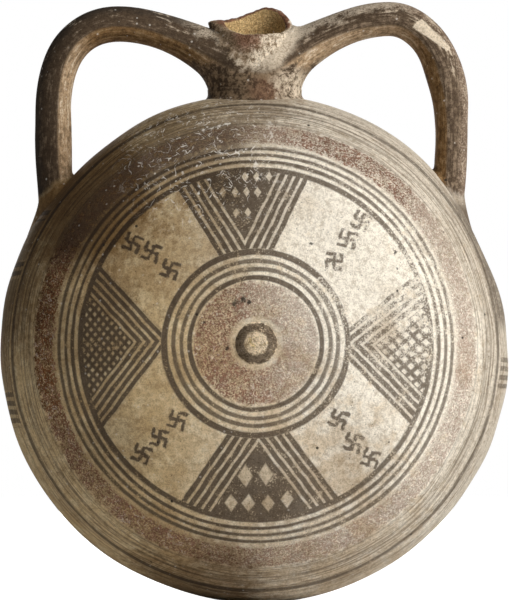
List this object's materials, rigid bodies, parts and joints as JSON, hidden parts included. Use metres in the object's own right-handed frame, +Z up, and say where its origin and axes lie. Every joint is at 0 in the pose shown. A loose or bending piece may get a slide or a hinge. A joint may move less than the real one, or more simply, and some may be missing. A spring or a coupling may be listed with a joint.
{
  "type": "pilgrim flask",
  "caption": "Lentoid earthenware pilgrim flask with a short broken-lipped neck, looped strap handles from shoulder to neck, a small front boss and painted bands.",
  "frame": {"origin": "centre of the small resting flat under the body, on the plane of the seam between the two bowls", "axes": "+Z up through the neck, +X to the right seen from the front, -Y out of the painted front face"},
  "size_m": [0.237, 0.149, 0.2795],
  "materials": {
    "painted_slip": "matt cream slip with dark brown and faded red painted bands",
    "neck_slip": "matt worn slip with pale crust and reddish stains",
    "dark_paint": "matt dark brown paint, worn to the clay along the edges",
    "boss_paint": "dark painted flank, worn pale on top",
    "bare_clay": "unpainted fired clay"
  },
  "bodies": {
    "root": {"front_bowl": "painted_slip", "back_bowl": "painted_slip", "seam_coil": "bare_clay", "front_boss": "boss_paint", "neck": "neck_slip", "neck_collar": "dark_paint", "left_handle": "dark_paint", "right_handle": "dark_paint", "left_root_wad": "dark_paint", "right_root_wad": "dark_paint"}
  },
  "joints": []
}
